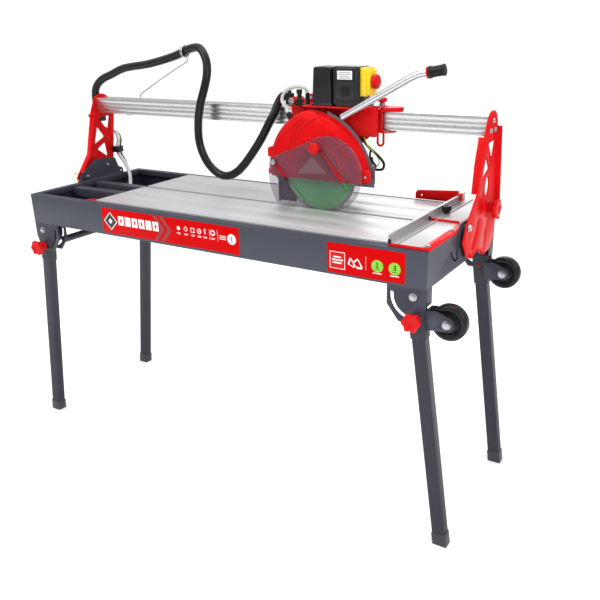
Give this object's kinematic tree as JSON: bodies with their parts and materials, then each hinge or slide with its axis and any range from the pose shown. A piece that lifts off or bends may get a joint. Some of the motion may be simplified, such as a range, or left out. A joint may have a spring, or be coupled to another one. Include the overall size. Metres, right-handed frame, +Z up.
{
  "type": "wet tile saw",
  "caption": "Wet tile saw on a folding wheeled stand: water basin, slotted ribbed table, overhead rail with sliding, lifting and tilting saw head.",
  "frame": {"origin": "middle of the outline on the floor, from the left feet to the right wheels, and midway between the front and rear leg knobs", "axes": "+X along the table towards the handle and wheels, -Y towards the operator, +Z up"},
  "size_m": [1.692, 0.61, 1.3649],
  "materials": {
    "frame_paint": "satin powder coat, dark grey",
    "red_paint": "gloss powder coat, red",
    "table_aluminium": "satin, mill finish with fine scratches",
    "zinc_steel": "bright zinc plated",
    "black_plastic": "matt, fine grain",
    "charcoal_plastic": "matt, fine grain",
    "red_plastic": "semi-gloss",
    "yellow_plastic": "semi-gloss",
    "label_film": "printed film",
    "motor_paint": "black paint",
    "blade_paint": "satin",
    "blade_segment": "sintered, rough",
    "smoke_shield": "clear smoky sheet",
    "black_rubber": "matt",
    "pump_plastic": "matt",
    "clear_tube": "soft, translucent",
    "grey_tube": "soft"
  },
  "bodies": {
    "base": {"basin": "frame_paint", "table_front": "table_aluminium", "table_rear": "table_aluminium", "support_beams": "frame_paint", "leg_brackets": "frame_paint", "tilt_brackets": "frame_paint", "frame_bolts": "zinc_steel", "pump": "pump_plastic", "fence_front": "table_aluminium", "fence_rear": "table_aluminium", "fence_strip": "red_paint", "front_labels": "label_film", "pump_tube": "clear_tube", "pump_cable": "black_rubber"},
    "side_stop": {"side_stop": "red_paint"},
    "stop_knob": {"stop_knob": "black_plastic"},
    "leg_lf": {"leg_lf": "frame_paint"},
    "leg_lr": {"leg_lr": "frame_paint"},
    "leg_rf": {"leg_rf": "frame_paint", "fork_front": "frame_paint"},
    "leg_rr": {"leg_rr": "frame_paint", "fork_rear": "frame_paint"},
    "leg_knob_lf": {"leg_knob_lf": "red_plastic"},
    "leg_knob_lr": {"leg_knob_lr": "red_plastic"},
    "leg_knob_rf": {"leg_knob_rf": "red_plastic"},
    "leg_knob_rr": {"leg_knob_rr": "red_plastic"},
    "front_wheel": {"front_wheel": "black_rubber"},
    "rear_wheel": {"rear_wheel": "black_rubber"},
    "bridge": {"left_pillar": "red_paint", "right_pillar": "red_paint", "rail": "table_aluminium", "rail_bolts": "zinc_steel", "hose_holder": "zinc_steel", "hose_clips": "black_plastic", "main_hose": "black_rubber"},
    "tilt_knob": {"tilt_knob": "red_plastic"},
    "carriage": {"carriage": "red_paint", "pivot_pin": "zinc_steel", "slide_pads": "black_plastic"},
    "arm": {"arm_plate": "red_paint", "motor": "motor_paint", "back_plate": "table_aluminium", "guard": "red_paint", "splash_flap": "black_rubber", "handle_tube": "table_aluminium", "handle_grip": "black_rubber", "capacitor_box": "charcoal_plastic", "switch_box": "charcoal_plastic", "switch_housing": "yellow_plastic", "water_valve": "black_plastic", "arm_bolts": "zinc_steel", "water_tube": "grey_tube", "head_cables": "black_rubber"},
    "depth_knob": {"depth_knob": "red_plastic"},
    "blade": {"blade_core": "blade_paint", "blade_rim": "blade_segment", "blade_flange": "zinc_steel"},
    "shield": {"shield": "smoke_shield"},
    "shield_knob": {"shield_knob": "red_plastic"},
    "estop": {"estop_button": "red_plastic"}
  },
  "joints": [
    {"name": "bridge_tilt", "type": "hinge", "parent": "base", "child": "bridge", "pos_m": [0, -0.024, 0.887], "axis": [1, 0, 0], "range_deg": [0, 45], "deforming": ["pump_tube", "pump_cable"]},
    {"name": "head_slide", "type": "slide", "parent": "bridge", "child": "carriage", "axis": [1, 0, 0], "range_m": [-0.79, 0.19], "deforming": ["main_hose"]},
    {"name": "head_plunge", "type": "hinge", "parent": "carriage", "child": "arm", "pos_m": [0.14297, 0.1, 1.196], "axis": [0, -1, 0], "range_deg": [0, 18]},
    {"name": "blade_spin", "type": "hinge", "parent": "arm", "child": "blade", "pos_m": [0.27597, -0.005, 1.002], "axis": [0, 1, 0], "continuous": true},
    {"name": "shield_slide", "type": "slide", "parent": "arm", "child": "shield", "axis": [-0.673, 0, 0.7396], "range_m": [0, 0.149]},
    {"name": "shield_knob_turn", "type": "hinge", "parent": "arm", "child": "shield_knob", "pos_m": [0.28397, -0.045, 1.076], "axis": [0, -1, 0], "continuous": true},
    {"name": "depth_knob_turn", "type": "hinge", "parent": "arm", "child": "depth_knob", "pos_m": [0.43597, 0.089, 1.2], "axis": [0, 0, 1], "continuous": true},
    {"name": "estop_press", "type": "slide", "parent": "arm", "child": "estop", "axis": [-1, 0, 0], "range_m": [0, 0.003], "stiffness_N_per_m": 800},
    {"name": "tilt_knob_turn", "type": "hinge", "parent": "bridge", "child": "tilt_knob", "pos_m": [0.77297, 0.144, 0.908], "axis": [1, 0, 0], "continuous": true},
    {"name": "fold_leg_rf", "type": "hinge", "parent": "base", "child": "leg_rf", "pos_m": [0.70597, -0.247, 0.755], "axis": [0, 1, 0], "range_deg": [0, 94]},
    {"name": "leg_knob_turn_rf", "type": "hinge", "parent": "leg_rf", "child": "leg_knob_rf", "pos_m": [0.71435, -0.28405, 0.69458], "axis": [0, 1, 0], "continuous": true},
    {"name": "fold_leg_rr", "type": "hinge", "parent": "base", "child": "leg_rr", "pos_m": [0.70597, 0.247, 0.755], "axis": [0, 1, 0], "range_deg": [0, 94]},
    {"name": "leg_knob_turn_rr", "type": "hinge", "parent": "leg_rr", "child": "leg_knob_rr", "pos_m": [0.71435, 0.28405, 0.69458], "axis": [0, 1, 0], "continuous": true},
    {"name": "fold_leg_lf", "type": "hinge", "parent": "base", "child": "leg_lf", "pos_m": [-0.72003, -0.247, 0.755], "axis": [0, -1, 0], "range_deg": [0, 98]},
    {"name": "leg_knob_turn_lf", "type": "hinge", "parent": "leg_lf", "child": "leg_knob_lf", "pos_m": [-0.72841, -0.28405, 0.69458], "axis": [0, 1, 0], "continuous": true},
    {"name": "fold_leg_lr", "type": "hinge", "parent": "base", "child": "leg_lr", "pos_m": [-0.72003, 0.247, 0.755], "axis": [0, -1, 0], "range_deg": [0, 98]},
    {"name": "leg_knob_turn_lr", "type": "hinge", "parent": "leg_lr", "child": "leg_knob_lr", "pos_m": [-0.72841, 0.28405, 0.69458], "axis": [0, 1, 0], "continuous": true},
    {"name": "front_wheel_spin", "type": "hinge", "parent": "leg_rf", "child": "front_wheel", "pos_m": [0.79599, -0.228, 0.68905], "axis": [0, 1, 0], "continuous": true},
    {"name": "rear_wheel_spin", "type": "hinge", "parent": "leg_rr", "child": "rear_wheel", "pos_m": [0.79599, 0.228, 0.68905], "axis": [0, 1, 0], "continuous": true},
    {"name": "side_stop_slide", "type": "slide", "parent": "base", "child": "side_stop", "axis": [0, 1, 0], "range_m": [-0.13, 0]},
    {"name": "stop_knob_turn", "type": "hinge", "parent": "base", "child": "stop_knob", "pos_m": [0.65097, 0.087, 0.9], "axis": [0, 0, 1], "continuous": true}
  ]
}
